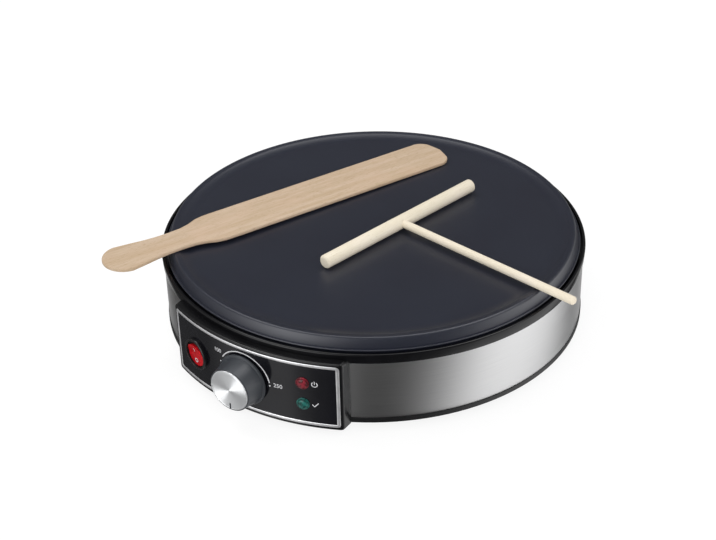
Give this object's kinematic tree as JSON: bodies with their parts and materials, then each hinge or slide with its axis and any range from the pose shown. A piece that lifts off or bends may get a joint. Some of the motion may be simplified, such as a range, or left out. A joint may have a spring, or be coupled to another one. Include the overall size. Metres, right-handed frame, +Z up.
{
  "type": "electric crepe maker",
  "caption": "Round countertop crepe maker: dark rimmed cooking plate on a steel-banded body, front control panel with knob, rocker switch and lamps, wooden spatula and spreader on top.",
  "frame": {"origin": "on the round body's axis, in the plane the feet stand on", "axes": "+Z up along the body's axis; the control panel faces -Y; +X to the right as seen from the front"},
  "size_m": [0.3547, 0.3582, 0.086],
  "materials": {
    "plate": "die-cast, dark non-stick coat, fine satin",
    "element": "heat-darkened sheath",
    "zinc": "zinc-plated steel",
    "reflector": "bright sheet",
    "ceramic": "unglazed",
    "brass": "stamped and turned",
    "ring": "black heat-resistant plastic, satin",
    "band": "circumferentially brushed stainless steel",
    "base": "black plastic, fine grain",
    "rubber": "black",
    "gland": "black",
    "wire_brown": "silicone sleeve",
    "wire_red": "silicone sleeve",
    "wire_blue": "silicone sleeve",
    "wire_green": "silicone sleeve",
    "housing": "black, slightly glossy",
    "fascia": "charcoal film, fine grain",
    "trim": "bright silver border",
    "switch": "black",
    "rocker": "translucent red",
    "lens_red": "translucent red",
    "lens_green": "translucent green",
    "bulb": "clear",
    "knob": "dark grey, satin",
    "cap": "spun face",
    "beech": "oiled beech",
    "pale_wood": "raw pale beech"
  },
  "bodies": {
    "base": {"cooking_plate": "plate", "heating_element": "element", "element_clamps": "zinc", "clamp_screws": "zinc", "element_insulators": "ceramic", "heat_reflector": "reflector", "thermal_fuse": "ceramic", "fuse_clamp": "zinc", "fuse_screw": "zinc", "earth_screw": "brass", "upper_ring": "ring", "steel_band": "band", "base_pan": "base", "plate_screws": "zinc", "feet": "rubber", "foot_screws": "zinc", "cord_gland": "gland", "terminal_block": "ceramic", "terminal_screws": "brass", "block_screw": "zinc", "wire_live": "wire_brown", "wire_switched": "wire_brown", "wire_heater": "wire_red", "wire_neutral": "wire_blue", "wire_earth": "wire_green", "panel_housing": "housing", "panel_fascia": "fascia", "panel_trim": "trim", "panel_screws": "zinc", "switch_body": "switch", "switch_terminals": "brass", "power_lamp_lens": "lens_red", "ready_lamp_lens": "lens_green", "lamp_bulbs": "bulb", "lamp_clips": "zinc", "thermostat_bracket": "zinc", "thermostat_bush": "brass", "thermostat_nut": "zinc", "thermostat_insulators": "ceramic", "thermostat_leaves": "brass", "thermostat_rivet": "zinc", "bracket_screws": "zinc"},
    "knob": {"thermostat_shaft": "zinc", "knob_body": "knob", "knob_cap": "cap"},
    "rocker": {"switch_rocker": "rocker"},
    "spatula": {"spatula": "beech"},
    "spreader": {"spreader_bar": "pale_wood", "spreader_handle": "pale_wood"}
  },
  "joints": [
    {"name": "knob_turn", "type": "hinge", "parent": "base", "child": "knob", "pos_m": [0, -0.173, 0.0344], "axis": [0, 1, 0], "range_deg": [0, 262]},
    {"name": "rocker_tilt", "type": "hinge", "parent": "base", "child": "rocker", "pos_m": [-0.04742, -0.16429, 0.0344], "axis": [-0.9608, 0.2773, 0], "range_deg": [0, 16]},
    {"name": "spatula_lift", "type": "slide", "parent": "base", "child": "spatula", "axis": [0, 0, 1], "range_m": [0, 0.15]},
    {"name": "spreader_lift", "type": "slide", "parent": "base", "child": "spreader", "axis": [0, 0, 1], "range_m": [0, 0.15]}
  ]
}
